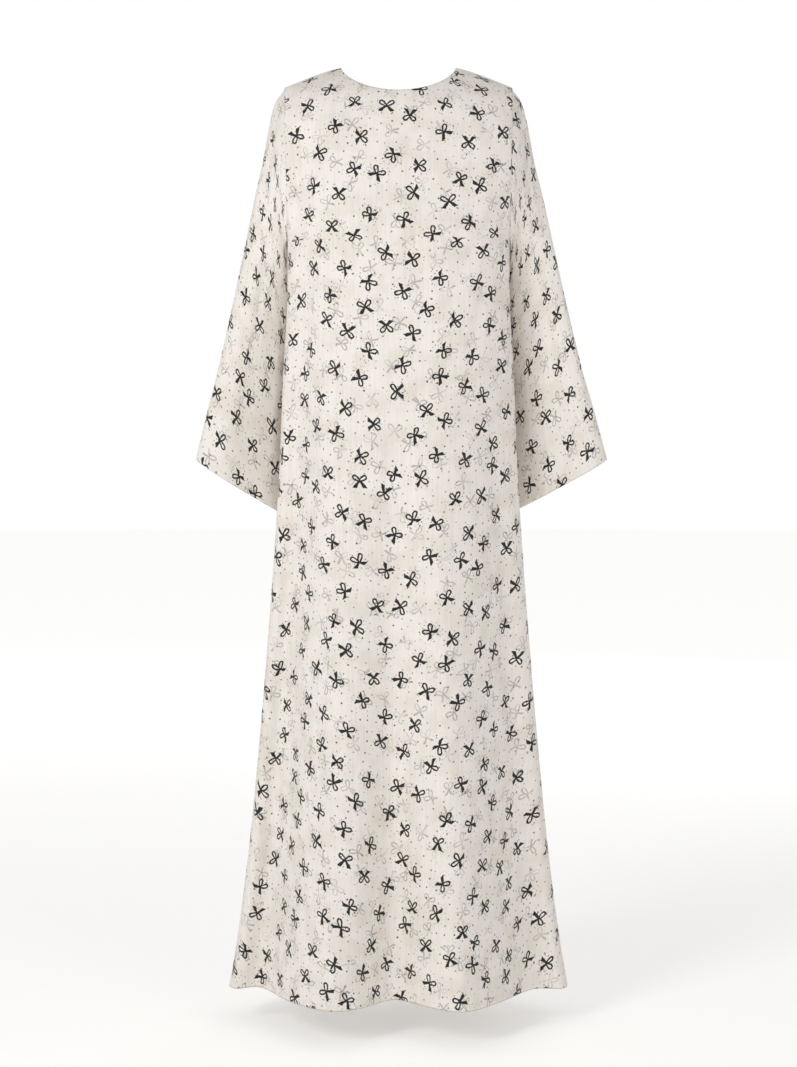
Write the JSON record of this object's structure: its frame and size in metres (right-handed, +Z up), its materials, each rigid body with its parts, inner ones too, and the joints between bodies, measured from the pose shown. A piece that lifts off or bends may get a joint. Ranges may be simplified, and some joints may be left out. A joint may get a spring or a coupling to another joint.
{
  "type": "abaya",
  "caption": "Long loose A-line abaya with a shallow round neck and wide open sleeves, in its worn hollow form, in cream cloth printed all over with small dark bows.",
  "frame": {"origin": "middle of the neck opening, level with the neck ends of the shoulder seams, where the wearer's shoulders hold the garment up", "axes": "+Z up, the front faces -Y, +X to the viewer's right"},
  "size_m": [0.637, 0.3603, 1.42],
  "materials": {
    "printed_cloth": "matte crepe, cream with a small dark bow print"
  },
  "bodies": {
    "root": {"front": "printed_cloth", "back": "printed_cloth", "sleeve_left": "printed_cloth", "sleeve_right": "printed_cloth"}
  },
  "joints": []
}
